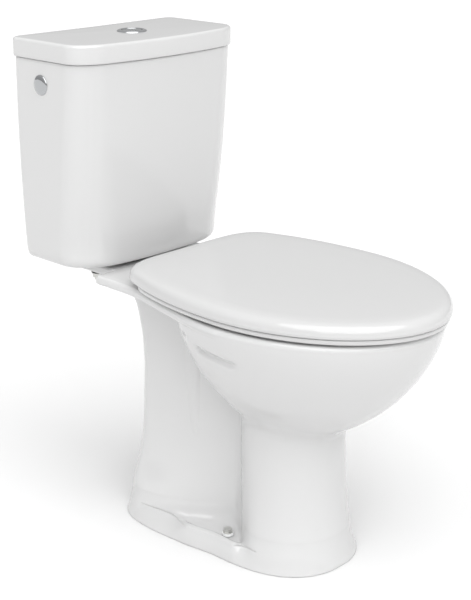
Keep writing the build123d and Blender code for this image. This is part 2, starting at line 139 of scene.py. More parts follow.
def reach(field, angles, z, centre_y, far=420.0):
    """Distance from (0, centre_y) to the edge of a section along each angle, by halving 40 times.

    The field is below zero inside, and each section is a star round the centre.
    """
    a, z = np.broadcast_arrays(angles, z)
    near, away = np.zeros(a.shape), np.full(a.shape, far)
    for _ in range(40):
        mid = 0.5 * (near + away)
        inside = field(mid * np.sin(a), centre_y - mid * np.cos(a), z) < 0.0
        near, away = np.where(inside, mid, near), np.where(inside, away, mid)
    return 0.5 * (near + away)


def around(radius, angles, z, centre_y):
    """Points at a radius and angle round (0, centre_y), at height z."""
    r, a, z = np.broadcast_arrays(radius, angles, z)
    return np.stack([r * np.sin(a), centre_y - r * np.cos(a), z], -1)


def turn(count):
    """Evenly spread angles round a full turn, from the front."""
    return np.arange(count) * (2.0 * math.pi / count)


def folded(angles):
    """Angle from the front, the same on both sides."""
    return np.abs((angles + math.pi) % (2 * math.pi) - math.pi)


# ---- meshes ---------------------------------------------------------------------------------
def grid_faces(rows, cols, wrap_cols=True, wrap_rows=False, keep=None):
    """Quads between neighbouring rows and columns of a grid, or only those that keep marks."""
    i = np.arange(rows if wrap_rows else rows - 1)[:, None]
    j = np.arange(cols if wrap_cols else cols - 1)[None, :]
    i2, j2 = (i + 1) % rows, (j + 1) % cols
    quads = np.stack(np.broadcast_arrays(i * cols + j, i * cols + j2, i2 * cols + j2, i2 * cols + j), -1)
    return quads[keep] if keep is not None else quads.reshape(-1, 4)


def volume(points, faces):
    """Signed volume: a sixth of the sum of each fan triangle's triple product."""
    total = 0.0
    for k in range(1, faces.shape[1] - 1):
        a, b, c = points[faces[:, 0]], points[faces[:, k]], points[faces[:, k + 1]]
        total += float(np.einsum("ij,ij->i", a, np.cross(b, c)).sum())
    return total / 6.0


def make_piece(name, body, parts, material, nodes, orient=True):
    """Joins (points, quads, poles) parts into one smooth mesh object that rides on a body.

    poles is a list of (point, ring, back) that are closed with a fan, wound the other way if back is
    true. With orient, each part is turned outwards by the sign of its volume.
    """
    all_points, all_faces, base = [], [], 0
    for points, quads, poles in parts:
        points = np.asarray(points, float).reshape(-1, 3)
        fans = []
        for tip, ring, back in poles:
            fan = np.stack([np.full(len(ring), len(points)), np.roll(ring, -1), ring], -1)
            points = np.vstack([points, tip])
            fans.append(fan[:, ::-1] if back else fan)
        fans = np.vstack(fans) if fans else np.zeros((0, 3), int)
        if orient and volume(points, quads) + (volume(points, fans) if len(fans) else 0.0) < 0.0:
            quads, fans = quads[:, ::-1], fans[:, ::-1]
        used = np.unique(np.concatenate([quads.ravel(), fans.ravel()]))
        fresh = np.full(len(points), -1)
        fresh[used] = np.arange(len(used))
        all_points.append(points[used])
        all_faces += (fresh[quads] + base).tolist() + (fresh[fans] + base).tolist()
        base += len(used)
    mesh = bpy.data.meshes.new(name)
    mesh.from_pydata(((np.vstack(all_points) + [0.0, MIDDLE_Y, 0.0]) * MM).tolist(), [], all_faces)
    mesh.validate()
    mesh.polygons.foreach_set("use_smooth", np.ones(len(mesh.polygons), bool))
    mesh.update()
    piece = bpy.data.objects.new(name, mesh)
    bpy.context.scene.collection.objects.link(piece)
    piece.data.materials.append(material)
    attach(piece, body)
    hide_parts(*nodes)


def shell(rings, start=None, end=None):
    """A stack of closed rings as one part, its first and last ring closed at a point if one is given."""
    rows, cols = rings.shape[:2]
    poles = []
    if start is not None:
        poles.append((np.asarray(start, float), np.arange(cols), False))
    if end is not None:
        poles.append((np.asarray(end, float), (rows - 1) * cols + np.arange(cols), True))
    return rings, grid_faces(rows, cols), poles


def loop_shell(rings):
    """A stack of closed rings whose last ring joins its first, as a torus does."""
    rows, cols = rings.shape[:2]
    return rings, grid_faces(rows, cols, wrap_rows=True), []


def turned(profile, middle, count=64, axis="z", closed=False):
    """A profile of (radius, height) points turned round an upright axis at (x, y), or, with axis x,
    round one along X at (z, y)."""
    a = turn(count)[None, :]
    p = np.asarray(profile, float)
    r, h = p[:, :1], p[:, 1:]
    across, along = r * np.sin(a), -r * np.cos(a)
    height = np.broadcast_to(h, across.shape)
    if axis == "z":
        rings = np.stack([middle[0] + across, middle[1] + along, height], -1)
    else:
        rings = np.stack([height, middle[1] + along, middle[0] + across], -1)
    if closed:
        return loop_shell(rings)
    tips = rings.mean(axis=1)
    return shell(rings, tips[0], tips[-1])


def soft_box(low, high, edge, count=48, rows=7):
    """A box whose sections are rounded rectangles and whose ends are rounded over by the same edge.

    Each ring is four quarter arcs round the corners of the inner rectangle, and near the ends the
    arcs draw in by one less the cosine of a quarter turn.
    """
    low, high = np.asarray(low, float), np.asarray(high, float)
    middle, half = (low + high) / 2, (high - low) / 2
    q = np.linspace(0.0, math.pi / 2, rows)
    z = np.concatenate([low[2] + edge * (1 - np.sin(q[::-1])), high[2] - edge * (1 - np.sin(q))])
    inset = np.concatenate([edge * (1 - np.cos(q[::-1])), edge * (1 - np.cos(q))])[:, None]
    quarter = np.arange(count // 4) / (count // 4 - 1) * math.pi / 2
    corner = np.array([[1, -1], [1, 1], [-1, 1], [-1, -1]])
    ring = []
    for k, (sx, sy) in enumerate(corner):
        a = quarter + (k - 1) * math.pi / 2
        ring.append(np.stack([sx * (half[0] - edge) + edge * np.cos(a),
                              sy * (half[1] - edge) + edge * np.sin(a)], -1))
    ring = np.concatenate(ring)
    core = np.sign(ring) * np.minimum(np.abs(ring), half[:2] - edge)
    out = (ring - core) / edge
    xy = core[None] + out[None] * (edge - inset[..., None])
    rings = np.concatenate([middle[:2] + xy, np.broadcast_to(z[:, None, None], xy.shape[:2] + (1,))], -1)
    return shell(rings, [middle[0], middle[1], z[0]], [middle[0], middle[1], z[-1]])


# ---- finishes -------------------------------------------------------------------------------
def finish_material(name, color, rough, bump=0.0, scale=40.0, tint=0.02, metallic=0.0, coat=0.0,
                    rough_spread=0.02, specular=0.5):
    """Principled finish with a slight cloud in its colour and roughness and a fine bump, all from
    noise on Object coordinates."""
    m = bpy.data.materials.new(name)
    m.use_nodes = True
    nodes, links = m.node_tree.nodes, m.node_tree.links
    shader = nodes["Principled BSDF"]
    shader.inputs["Metallic"].default_value = metallic
    shader.inputs["Coat Weight"].default_value = coat
    shader.inputs["Coat Roughness"].default_value = 0.03
    shader.inputs["Specular IOR Level"].default_value = specular
    where = nodes.new("ShaderNodeTexCoord")
    cloud = nodes.new("ShaderNodeTexNoise")
    cloud.inputs["Scale"].default_value = scale * 0.15
    cloud.inputs["Detail"].default_value = 3.0
    links.new(where.outputs["Object"], cloud.inputs["Vector"])
    ramp = nodes.new("ShaderNodeMapRange")
    ramp.inputs["To Min"].default_value = max(rough - rough_spread, 0.0)
    ramp.inputs["To Max"].default_value = rough + rough_spread
    links.new(cloud.outputs["Fac"], ramp.inputs["Value"])
    links.new(ramp.outputs["Result"], shader.inputs["Roughness"])
    blend = nodes.new("ShaderNodeMix")
    blend.data_type = "RGBA"
    blend.inputs["A"].default_value = (*[c * (1 - tint) for c in color], 1.0)
    blend.inputs["B"].default_value = (*[min(c * (1 + tint), 1.0) for c in color], 1.0)
    links.new(cloud.outputs["Fac"], blend.inputs["Factor"])
    links.new(blend.outputs["Result"], shader.inputs["Base Color"])
    if bump > 0.0:
        grain = nodes.new("ShaderNodeTexNoise")
        grain.inputs["Scale"].default_value = scale
        grain.inputs["Detail"].default_value = 2.0
        links.new(where.outputs["Object"], grain.inputs["Vector"])
        relief = nodes.new("ShaderNodeBump")
        relief.inputs["Strength"].default_value = bump
        relief.inputs["Distance"].default_value = 0.001
        links.new(grain.outputs["Fac"], relief.inputs["Height"])
        links.new(relief.outputs["Normal"], shader.inputs["Normal"])
    return m


def finish(name):
    """The named finish, made once."""
    if name in bpy.data.materials:
        return bpy.data.materials[name]
    colors = bpy.context.scene.toilet_finish
    recipes = {
        "white_glaze": dict(color=colors.glaze, rough=0.10, bump=0.03, scale=55.0, tint=0.006, coat=0.35),
        "seat_gloss": dict(color=colors.seat, rough=0.05, bump=0.01, scale=160.0, tint=0.004, coat=0.3,
                           rough_spread=0.01),
        "chrome_plate": dict(color=colors.chrome, rough=0.07, bump=0.01, scale=200.0, tint=0.03,
                             metallic=1.0),
        "black_rubber": dict(color=(0.02, 0.02, 0.02), rough=0.7, bump=0.3, scale=900.0, tint=0.2),
        "grey_rubber": dict(color=(0.5, 0.5, 0.48), rough=0.55, bump=0.2, scale=900.0, tint=0.05),
        "zinc_steel": dict(color=(0.34, 0.34, 0.33), rough=0.32, bump=0.1, scale=600.0, tint=0.15,
                           metallic=1.0, rough_spread=0.1),
        "white_plastic": dict(color=(0.68, 0.69, 0.69), rough=0.38, bump=0.12, scale=700.0, tint=0.03),
        "blue_plastic": dict(color=(0.03, 0.10, 0.26), rough=0.4, bump=0.12, scale=700.0, tint=0.08),
    }
    return finish_material(name, **recipes[name])


# ---- pan ------------------------------------------------------------------------------------
RIM_Z, RIM_ROUND = 400.0, 6.5       # top of the rim and the rounding of its outer edge
SKIRT_TOP = 28.0                    # height of the tray's edge
WALL_FOOT = 50.0                    # height where the foot's flare has become the wall
FLARE_POWER, BOWL_POWER = 1.6, 1.65
HOLLOW_TOP = 322.0                  # ceiling of the hollow at the back
COLUMNS, OPEN_HALF = 384, 21        # columns of the pan's skin, and half of those left open at the back
DECK_BACK = 187.0
# Right half of the foot's outline, from the front to the back.
FOOT = [(0, -196), (22, -195), (58, -180), (78, -161), (98, -121), (105, -85), (108, -30), (114, 10),
        (118, 60), (118, 110), (111, 148), (95, 173), (70, 189), (36, 194), (0, 194)]
# Inside of the bowl downwards: height, half-width, reach to the front, reach to the back, middle.
WELL = [(372, 136, 174, 122, -104), (370.5, 146, 186, 132, -104), (368, 152, 190, 140, -104),
        (355, 153, 190, 144, -104), (340, 150, 184, 142, -104), (320, 142, 174, 134, -104),
        (300, 131, 160, 124, -104), (280, 117, 142, 111, -103), (260, 101, 122, 96, -100),
        (240, 81, 97, 77, -96), (220, 62, 74, 60, -92), (203, 51, 57, 50, -86), (185, 44, 46, 44, -82),
        (172, 39, 39, 38, -76), (160, 36, 36, 36, -68), (150, 34, 34, 34, -58)]


def foot_reach(angles):
    """Footprint radius: an eased curve through the outline's points by angle, the same on both sides."""
    pts = np.asarray(FOOT, float)
    a = np.arctan2(pts[:, 0], STAR_Y - pts[:, 1])
    r = np.hypot(pts[:, 0], pts[:, 1] - STAR_Y)
    a = np.concatenate([-a[2:0:-1], a, 2 * math.pi - a[-2:-4:-1]])
    r = np.concatenate([r[2:0:-1], r, r[-2:-4:-1]])
    return eased(folded(angles), a, r)


def egg_field(x, y, half_width, front, back, power=2.0):
    """Egg round its widest place: distance in units of its own half-axes less one, times its
    half-width; a power under 2 makes the nose more pointed."""
    along = np.where(y < WIDEST_Y, front, back)
    n = np.where(y < WIDEST_Y, power, 2.0)
    return ((np.abs(x / half_width) ** n + np.abs((y - WIDEST_Y) / along) ** n) ** (1 / n) - 1.0) * half_width


def box_field(x, y, half_width, y_low, y_high, corner):
    """Rounded rectangle: distance to the inner rectangle less the corner radius."""
    qx = np.abs(x) - half_width + corner
    qy = np.abs(y - (y_low + y_high) / 2) - (y_high - y_low) / 2 + corner
    outside = np.hypot(np.maximum(qx, 0), np.maximum(qy, 0))
    return outside + np.minimum(np.maximum(qx, qy), 0) - corner


def bowl_field(x, y, z):
    """Outside of the bowl: the rim's egg, scaled by one less a power of the depth, to that root."""
    s = bpy.context.scene.toilet_pan
    depth = np.clip((RIM_Z - z) / s.bowl_depth, 0.0, 1.0)
    share = np.maximum(1.0 - depth ** BOWL_POWER, 1e-4) ** (1 / BOWL_POWER)
    half_width = np.maximum(s.rim_half_width * share, 1.0)
    return egg_field(x, y, half_width, s.rim_front * share, half_width, power=NOSE)


def rear_field(x, y, z):
    """Rear column: a rounded rectangle cut by two slanting planes that meet towards the front."""
    half_width = eased(z, [0, 20, 40, 65, 100, 150, 200, 260, 320, 350, 368, 380, 388],
                       [118, 111, 105, 98, 86, 77.5, 74, 73, 75, 80, 87, 96, 106])
    back = eased(z, [0, 20, 60, 100, 150, 200, 260, 320, 350, 388],
                 [196, 193, 187, 178, 170.5, 168, 166, 172, 176, 182])
    corner = eased(z, [0, 32, 65, 100, 150, 200, 388], [70, 70, 62, 50, 38, 33, 33])
    column = box_field(x, y, half_width, 0.0, back, corner)
    across = eased(z, [0, 32, 120, 220, 330, 388], [0.87, 0.881, 0.93, 0.955, 0.955, 0.93])
    offset = eased(z, [0, 32, 220, 330, 388], [46, 44, 42, 46, 60])
    cut = across * np.abs(x) - np.sqrt(1 - across ** 2) * y - offset
    return smooth_max(column, cut, 26.0)


def pan_field(x, y, z):
    """Bowl, front column, waist and rear column, blended together at each height."""
    flare = eased(z, [0, 20, 40, 60, 100, 150, 205, 400], [21, 16.5, 12, 8.5, 4.5, 2, 0, 4])
    column = np.hypot(x, y + 99.0) - 77.0 - flare * step((-42.0 - y) / 64.0)
    waist = box_field(x, y, eased(z, [0, 32, 80, 200], [47, 46, 41, 38]), -110.0, 70.0, 10.0)
    body = smooth_min(column, waist, 16.0)
    body = smooth_min(body, rear_field(x, y, z), 24.0)
    return smooth_min(body, bowl_field(x, y, z), bpy.context.scene.toilet_pan.crease)


def deck_field(x, y, z):
    """Rim egg joined to the flat deck, whose sides run from the widest place to its square back.

    It is the same at every height.
    """
    s = bpy.context.scene.toilet_pan
    egg = egg_field(x, y, s.rim_half_width, s.rim_front, s.rim_half_width, power=NOSE)
    side = eased(y, [-170, -104, -44, 16, 64, 112, 150, 240], [173, 176, 169, 156, 144, 136, 135, 135])
    deck = smooth_max(np.abs(x) - side, y - DECK_BACK, 9.0)
    deck = np.maximum(deck, -110.0 - y)
    return smooth_min(egg, deck, 10.0)


def dimples(angles, z):
    """Shallow pressed marks on both sides of the bowl: each is a depth times a bell across a segment."""
    mean_radius = 165.0
    depth = np.zeros(np.broadcast(angles, z).shape)
    for start, end, level, drop, deepest, spread in ((0.92, 1.20, 353.0, -5.0, 8.5, 6.0),
                                                     (1.40, 1.43, 366.0, 0.0, 5.0, 3.6)):
        along = np.clip((folded(angles) - start) / (end - start), 0.0, 1.0)
        aside = (folded(angles) - (start + (end - start) * along)) * mean_radius
        above = z - (level - drop * (along - 0.5))
        depth = depth + deepest * np.exp(-(aside ** 2 + above ** 2) / spread ** 2)
    return depth


def foot_rings(a):
    """Skirt of the foot, and above it the tray, or the foot's flare where there is no tray.

    The flare's height is one less a root of the share of the way left. The tray has a lip and a dip
    behind its edge, and rises to the wall as an exponential of the distance left.
    """
    foot = foot_reach(a)
    wall_foot = reach(pan_field, a, WALL_FOOT, STAR_Y)
    spread = np.maximum(foot - wall_foot, 0.5)
    tray = step((folded(a) - 0.70) / 0.30) * step((2.50 - folded(a)) / 0.75)
    low = np.array([0.0, 0.0, 0.6, 2.4, 6, 10, 14, 18, 22, 25, SKIRT_TOP])[:, None]
    rounding = np.array([14.0, 2.4, 0.7, 0.0, 0, 0, 0, 0, 0, 0, 0])[:, None]
    flare = spread * (1.0 - (1.0 - low / WALL_FOOT) ** FLARE_POWER)
    lean = 0.16 * low + 2.6 * (low / SKIRT_TOP) ** 4
    skirt = foot - rounding - flare * (1 - tray) - lean * tray

    edge = skirt[-1:]
    t = (0.5 - 0.5 * np.cos(np.linspace(0.0, math.pi, 30)))[1:-1, None]
    gap = np.maximum(edge - wall_foot, 0.5)
    run, left = gap * t, gap * (1 - t)
    lip, fillet = 3.2, 7.0
    dip = 7.5 * step((gap - 10.0) / 22.0) * step((run - 5.0) / 13.0)
    shelf = SKIRT_TOP + lip * (1 - np.exp(-run / lip)) - dip
    rise = (np.exp(-left / fillet) - np.exp(-gap / fillet)) / (1 - np.exp(-gap / fillet))
    shelf = shelf + (WALL_FOOT - shelf) * rise
    share = np.clip((foot - edge + run) / spread, 0.0, 1.0)
    flared = WALL_FOOT * (1.0 - (1.0 - share) ** (1 / FLARE_POWER))
    height = np.minimum(flared * (1 - tray) + shelf * tray, WALL_FOOT - 0.2)
    return [around(skirt, a, low, STAR_Y), around(edge - run, a, height, STAR_Y)]


def wall_levels():
    """Heights of the wall's rings, closer together where the bowl turns in and under the rim."""
    return np.concatenate([np.arange(50.0, 180, 5.5), np.arange(180.0, 262, 2.6), np.arange(263.0, 322, 4.5),
                           [HOLLOW_TOP], np.arange(325.0, 350, 3.2), np.arange(351.0, 376, 1.8),
                           np.arange(377.0, 386.5, 1.8)])[:, None]


def rim_rings(a, wall):
    """Underside and edge of the rim and the deck, their flat top, and the lip of the bowl's mouth."""
    rim = reach(deck_field, a, RIM_Z, STAR_Y)
    edge_z = np.array([386.2, 386.5, 387.0, 387.4, 388.0, 389.2, 391.2])[:, None]
    under = reach(pan_field, a, edge_z, STAR_Y)
    shelf = wall + (rim - 1.8 - wall) * np.array([0.12, 0.4, 0.75, 1.0, 1.0, 1.0, 1.0])[:, None]
    shelf[-3:] = rim - np.array([0.9, 0.2, 0.0])[:, None]
    overhang = step((rim - wall - 1.5) / 6.0)
    rings = [around(np.minimum(under, rim) * (1 - overhang) + shelf * overhang, a, edge_z, STAR_Y)]
    q = np.linspace(0.0, math.pi / 2, 8)[:, None]
    rings.append(around(rim - RIM_ROUND * (1 - np.cos(q)), a, RIM_Z - RIM_ROUND * (1 - np.sin(q)), STAR_Y))

    mouth = reach(lambda x, y, z: egg_field(x, y, 134.0, 172.0, 120.0), a, RIM_Z, STAR_Y)
    top_edge = rim - RIM_ROUND
    t = np.linspace(0.0, 1.0, 10)[1:, None]
    rings.append(around(top_edge + (mouth + 6.0 - top_edge) * t, a, RIM_Z, STAR_Y))
    for z, out in ((399.5, 3.0), (397.6, 1.0), (394.0, 0.0), (384.0, -0.5), (376.0, -0.5)):
        rings.append(around(mouth + out, a, z, STAR_Y))
    return rings


def well_rings(a):
    """Inside of the bowl: at each height two half ellipses, one to the front and one to the back."""
    rings = []
    for z, half_width, front, back, middle in WELL:
        along = np.where(np.cos(a) > 0, front, back)
        r = 1.0 / np.sqrt((np.sin(a) / half_width) ** 2 + (np.cos(a) / along) ** 2)
        rings.append(around(r, a, float(z), float(middle)))
    return rings


def build_pan(material):
    """China pan: foot, tray, wall, deck edge, flat rim and the inside of the bowl as one skin."""
    a, level = turn(COLUMNS)[None, :], wall_levels()
    wall = reach(pan_field, a, level, STAR_Y) - dimples(a, level)
    below = np.concatenate(foot_rings(a) + [around(wall, a, level, STAR_Y)])
    rings = np.concatenate([below] + rim_rings(a, wall[-1:]) + well_rings(a))

    rows, middle = len(rings), COLUMNS // 2
    row = np.arange(rows - 1)
    open_rows = (rings[:-1, 0, 2] < HOLLOW_TOP - 0.1) & (row < len(below)) & (row > 0)
    at_back = np.abs(np.arange(COLUMNS) + 0.5 - middle) < OPEN_HALF
    keep = ~(open_rows[:, None] & at_back[None, :])
    poles = [(np.array([0.0, STAR_Y, 0.0]), np.arange(COLUMNS), False),
             (np.array([0.0, -52.0, 146.0]), (rows - 1) * COLUMNS + np.arange(COLUMNS), True)]
    skin = (rings, grid_faces(rows, COLUMNS, keep=keep), poles)
    make_piece("pan_china", "pan_and_cistern", [skin], material, ["pan"])

    edges = below[1:]
    edges = edges[edges[:, 0, 2] < HOLLOW_TOP + 0.5]
    hollow = rear_hollow(edges[:, middle - OPEN_HALF], edges[:, middle + OPEN_HALF])
    make_piece("pan_rear_hollow", "pan_and_cistern", [hollow], material, ["pan"], orient=False)


def rear_hollow(right, left):
    """Hollow behind the trap: at each height a U from the right edge of the opening, forward, across
    and back to its left edge, with rounded inner corners, closed by a ceiling drawn to the middle."""
    steps, corner, front, lead_in = 12, 18.0, 54.0, 10.0
    q = np.linspace(0.0, math.pi / 2, steps)
    half = 61.0 + 24.0 * (1 - step(right[:, 2] / 90.0))
    half = np.minimum(half, right[:, 0] + 14.0)[:, None]
    z = right[:, 2][:, None]
    lead = np.linspace(0.0, 1.0, 5)[None, :]
    edge_x = right[:, :1] + (half - right[:, :1]) * step(lead)
    edge_y = right[:, 1:2] - lead_in * lead
    side_x, side_y = half + 0 * lead, edge_y[:, -1:] + (front - edge_y[:, -1:]) * lead
    turn_x = half - corner * (1 - np.cos(q))
    turn_y = np.broadcast_to(front - corner * np.sin(q), turn_x.shape)
    xs = np.concatenate([edge_x, side_x[:, 1:], turn_x[:, 1:]], 1)
    ys = np.concatenate([edge_y, side_y[:, 1:], turn_y[:, 1:]], 1)
    xs = np.concatenate([xs, -xs[:, ::-1]], 1)
    ys = np.concatenate([ys, ys[:, ::-1]], 1)
    xs[:, -1] = left[:, 0]
    wall = np.stack([xs, ys, np.broadcast_to(z, xs.shape)], -1)
    pull = np.linspace(1.0, 0.0, 6)[1:, None, None]
    roof = wall[-1][None] * np.concatenate([pull, np.ones_like(pull), np.ones_like(pull)], -1)
    rings = np.concatenate([wall, roof])
    return rings, grid_faces(len(rings), rings.shape[1], wrap_cols=False), []


HORN_FLOOR, HORN_TOP = 330.0, 399.6  # lowest floor and the top of the water horn


def tapered(z, y):
    """Height z of a straight box, squeezed above a floor that climbs towards the back."""
    floor = np.interp(y, [150, 186, 280], [HORN_FLOOR, 338, 378])
    return floor + (z - HORN_FLOOR) * (HORN_TOP - floor) / (HORN_TOP - HORN_FLOOR)


def build_tongue(material):
    """Tongue under the cistern, and the water horn below it: two soft boxes, the horn tapered."""
    tongue = soft_box((-98, 156, 385.2), (98, 268, 399.8), 4.5, count=64)
    points, quads, poles = soft_box((-42, 150, HORN_FLOOR), (42, 280, HORN_TOP), 6.0, count=64, rows=8)
    points[..., 2] = tapered(points[..., 2], points[..., 1])
    for tip, _, _ in poles:
        tip[2] = tapered(tip[2], tip[1])
    make_piece("pan_tongue", "pan_and_cistern", [tongue, (points, quads, poles)], material, ["pan"])


SPIGOT_Z = 185.0
SPIGOT_END = [(166, 51), (168.6, 50.8), (169.7, 50), (170, 48.6), (170, 44.5), (169, 42.6), (166, 42),
              (140, 42), (116, 38)]


def build_trap(material):
    """Trap that ends in the outlet spigot: rings square to an eased path, then the spigot's rounded
    end and its bore, given by their places along Y and their radii."""
    t = np.linspace(0.0, 1.0, 26)
    y = eased(t, [0, 0.3, 0.55, 0.75, 1.0], [34, 76, 104, 130, 164])
    z = eased(t, [0, 0.3, 0.55, 0.75, 1.0], [196, 232, 212, 187, SPIGOT_Z])
    r = eased(t, [0, 0.5, 0.72, 0.8, 1.0], [45, 45, 46, 50, 51])
    dy, dz = np.gradient(y), np.gradient(z)
    size = np.hypot(dy, dz)
    end_y, end_r = np.array(SPIGOT_END, float).T
    flat = np.zeros(len(end_y))
    y, z, r = np.append(y, end_y), np.append(z, flat + SPIGOT_Z), np.append(r, end_r)
    ny, nz = np.append(-dz / size, flat), np.append(dy / size, flat + 1.0)
    a = turn(72)[None, :]
    up, side = r[:, None] * np.cos(a), r[:, None] * np.sin(a)
    rings = np.stack([side, y[:, None] + ny[:, None] * up, z[:, None] + nz[:, None] * up], -1)
    trap = shell(rings, [0, y[0], z[0]], [0, 112, SPIGOT_Z])
    make_piece("pan_trap", "pan_and_cistern", [trap], material, ["pan"])


# ---- cistern --------------------------------------------------------------------------------
TANK_Y = 245.0                      # middle of the cistern, from which its sections are all visible
TANK_BOTTOM, TANK_FLOOR, TANK_RIM = 406.0, 416.0, 716.0
TANK_BACK, TANK_WALL = 324.0, 11.0
LID_BOTTOM, LID_CEILING, LID_TOP = 717.0, 733.0, 745.0
LID_FRONT, LID_BACK, LID_CORNER, LID_CROWN = 151.0, 326.0, 45.0, 0.6
# Half-width, front and front corner radius of the cistern at each height.
TANK_LEVELS = [406, 407.5, 410, 414, 420, 429, 440, 470, 520, 600, 660, 717]
TANK_HALF = [147, 151, 153.8, 156, 157.4, 158.2, 158.7, 160, 161.3, 162.3, 162, 160.5]
TANK_FRONT = [181, 177.6, 175.3, 173.6, 172.4, 171.6, 171, 168.6, 165, 160, 157, 154]
TANK_CORNER = [60, 62, 64, 66, 68, 70, 70, 67, 61, 54, 49, 45]


def tank_field(x, y, half_width, front, back, corner, bow):
    """Rounded rectangle with wide front corners and tight back ones, its front bowed as x squared."""
    bow_reach, bow_unit, back_corner = 135.0, 111.0, 12.0
    weight = step((TANK_Y - y) / (TANK_Y - front))
    y = y - bow * weight * (np.minimum(np.abs(x), bow_reach) / bow_unit) ** 2
    r = np.where(y < TANK_Y, corner, back_corner)
    qx = np.abs(x) - half_width + r
    qy = np.where(y < TANK_Y, front - y, y - back) + r
    outside = np.hypot(np.maximum(qx, 0), np.maximum(qy, 0))
    return outside + np.minimum(np.maximum(qx, qy), 0) - r


def tank_section(wall):
    """Field of the cistern body at each height, drawn in by the wall."""
    bow = bpy.context.scene.toilet_cistern.bow

    def field(x, y, z):
        half, front = eased(z, TANK_LEVELS, TANK_HALF), eased(z, TANK_LEVELS, TANK_FRONT)
        corner = eased(z, TANK_LEVELS, TANK_CORNER)
        return tank_field(x, y, half - wall, front + wall, TANK_BACK - wall,
                          np.maximum(corner - wall, 13.0), bow)
    return field


def build_cistern(material):
    """Cistern body with a rounded bottom edge, open at the top, with its inside wall."""
    a = turn(360)[None, :]
    q = np.linspace(0, math.pi / 2, 22)
    bottom_curve = TANK_BOTTOM + 34 * (1 - np.cos(q))
    level = np.concatenate([bottom_curve, np.arange(446.0, 714.5, 6.0), [714.9]])[:, None]
    outer = reach(tank_section(0.0), a, level, TANK_Y)
    top = reach(tank_section(0.0), a, TANK_RIM, TANK_Y)
    inside = reach(tank_section(TANK_WALL), a, TANK_RIM, TANK_Y)
    rings = [around(outer[:1] * s, a, TANK_BOTTOM, TANK_Y) for s in (0.35, 0.7, 0.96)]
    rings.append(around(outer, a, level, TANK_Y))
    for r, z in ((top - 0.4, TANK_RIM), (top - 1.5, TANK_RIM + 0.4),
                 (inside + 1.5, TANK_RIM + 0.4), (inside + 0.3, TANK_RIM - 0.2)):
        rings.append(around(r, a, z, TANK_Y))
    down = np.concatenate([np.arange(712.0, 440, -12.0), [436.0, 424, 418, TANK_FLOOR]])[:, None]
    inner = reach(tank_section(TANK_WALL), a, down, TANK_Y)
    rings += [around(inner, a, down, TANK_Y), around(inner[-1:] * 0.5, a, TANK_FLOOR, TANK_Y)]
    part = shell(np.concatenate(rings), [0, TANK_Y, TANK_BOTTOM], [0, TANK_Y, TANK_FLOOR])
    make_piece("cistern_china", "pan_and_cistern", [part], material, ["cistern"])


def build_lid(material):
    """Lid: slightly crowned top, rounded edge, drafted side, and a hollow underside with a locating
    lip. Each ring is the lid's outline drawn in by an inset."""
    s = bpy.context.scene.toilet_cistern
    a, edge = turn(360)[None, :], 5.0

    def outline(inset):
        corner = max(LID_CORNER - inset, 6.0)
        return reach(lambda x, y, z: tank_field(x, y, s.lid_half_width - inset, LID_FRONT + inset,
                                                LID_BACK - inset, corner, s.bow), a, LID_TOP, TANK_Y)
    side = outline(0.0)
    q = np.linspace(math.pi / 2, 0.0, 9)[:, None]
    rings = [around(side * k, a, LID_TOP + LID_CROWN * (1 - k * k), TANK_Y) for k in (0.25, 0.5, 0.75, 0.93)]
    rings.append(around(side - edge * (1 - np.cos(q)), a, LID_TOP - edge * (1 - np.sin(q)), TANK_Y))
    hollow, lip, inner = outline(12.0), outline(19.0), outline(26.0)
    for r, z in ((side + 0.05, 733.0), (side + 0.1, 724.0), (side, 719.2), (side - 0.25, 718.0),
                 (side - 1.0, 717.25), (side - 2.2, LID_BOTTOM), (hollow + 1, LID_BOTTOM), (hollow, 718.0),
                 (hollow, LID_CEILING), (lip, LID_CEILING), (lip, 710.0), (lip - 1, 709.0),
                 (inner + 1, 709.0), (inner, 710.0), (inner, LID_CEILING), (inner * 0.4, LID_CEILING)):
        rings.append(around(r, a, z, TANK_Y))
    part = shell(np.concatenate(rings), [0, TANK_Y, LID_TOP + LID_CROWN], [0, TANK_Y, LID_CEILING])
    make_piece("cistern_lid_china", "lid", [part], material, ["cistern_lid"])


# ---- seat -----------------------------------------------------------------------------------
COVER_TOP, COVER_UNDER = 434.0, 421.0
COVER_BACK, RING_BACK = 129.0, 100.0


def seat_field(inset, back):
    """Front half ellipse, a longer ellipse behind it, cut by a straight back with rounded corners."""
    s = bpy.context.scene.toilet_seat

    def field(x, y, z):
        egg = egg_field(x, y, s.half_width - inset, s.front - inset, 330.0, power=NOSE)
        return smooth_max(egg, y - back, 38.0)
    return field


